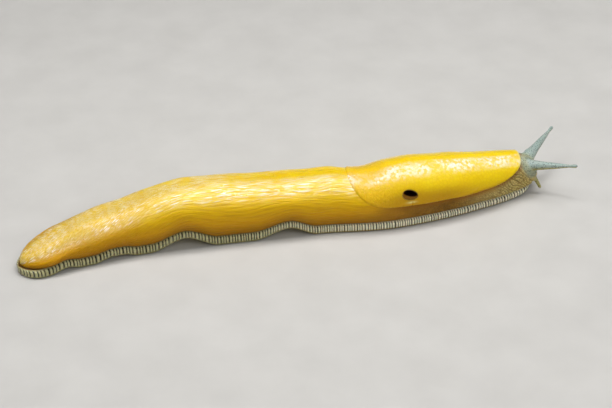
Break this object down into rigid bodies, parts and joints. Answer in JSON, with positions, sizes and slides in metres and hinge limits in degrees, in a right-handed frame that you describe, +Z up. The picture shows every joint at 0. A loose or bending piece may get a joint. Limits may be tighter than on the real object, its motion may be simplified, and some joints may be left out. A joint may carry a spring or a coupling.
{
  "type": "banana slug model",
  "caption": "Still, life-size model of a crawling yellow banana slug with mantle, breathing pore, fringed foot and four tentacles.",
  "frame": {"origin": "middle of the bounding box, on the floor below the slug", "axes": "+X along the body from the tail to the head, +Y to the slug's left, +Z up"},
  "size_m": [0.187, 0.0324, 0.0197],
  "materials": {
    "yellow_skin": "wet, finely furrowed yellow skin",
    "mantle_skin": "wet, smoother and finely grained yellow skin",
    "head_skin": "wet, pebbled olive skin",
    "tentacle_skin": "wet, granular grey-green skin",
    "foot_fringe": "wet, grey-olive, grooved across",
    "eye": "black and glossy"
  },
  "bodies": {
    "root": {"tail": "yellow_skin", "trunk_rear": "yellow_skin", "trunk_middle": "yellow_skin", "trunk_front": "yellow_skin", "neck": "head_skin", "head": "head_skin", "lips": "head_skin", "mantle": "mantle_skin", "foot_tail": "foot_fringe", "foot_rear": "foot_fringe", "foot_middle": "foot_fringe", "foot_front": "foot_fringe", "upper_tentacle_left_base": "tentacle_skin", "upper_tentacle_left_stalk": "tentacle_skin", "upper_tentacle_left_tip": "tentacle_skin", "lower_tentacle_left": "tentacle_skin", "eye_left": "eye", "upper_tentacle_right_base": "tentacle_skin", "upper_tentacle_right_stalk": "tentacle_skin", "upper_tentacle_right_tip": "tentacle_skin", "lower_tentacle_right": "tentacle_skin", "eye_right": "eye"}
  },
  "joints": []
}
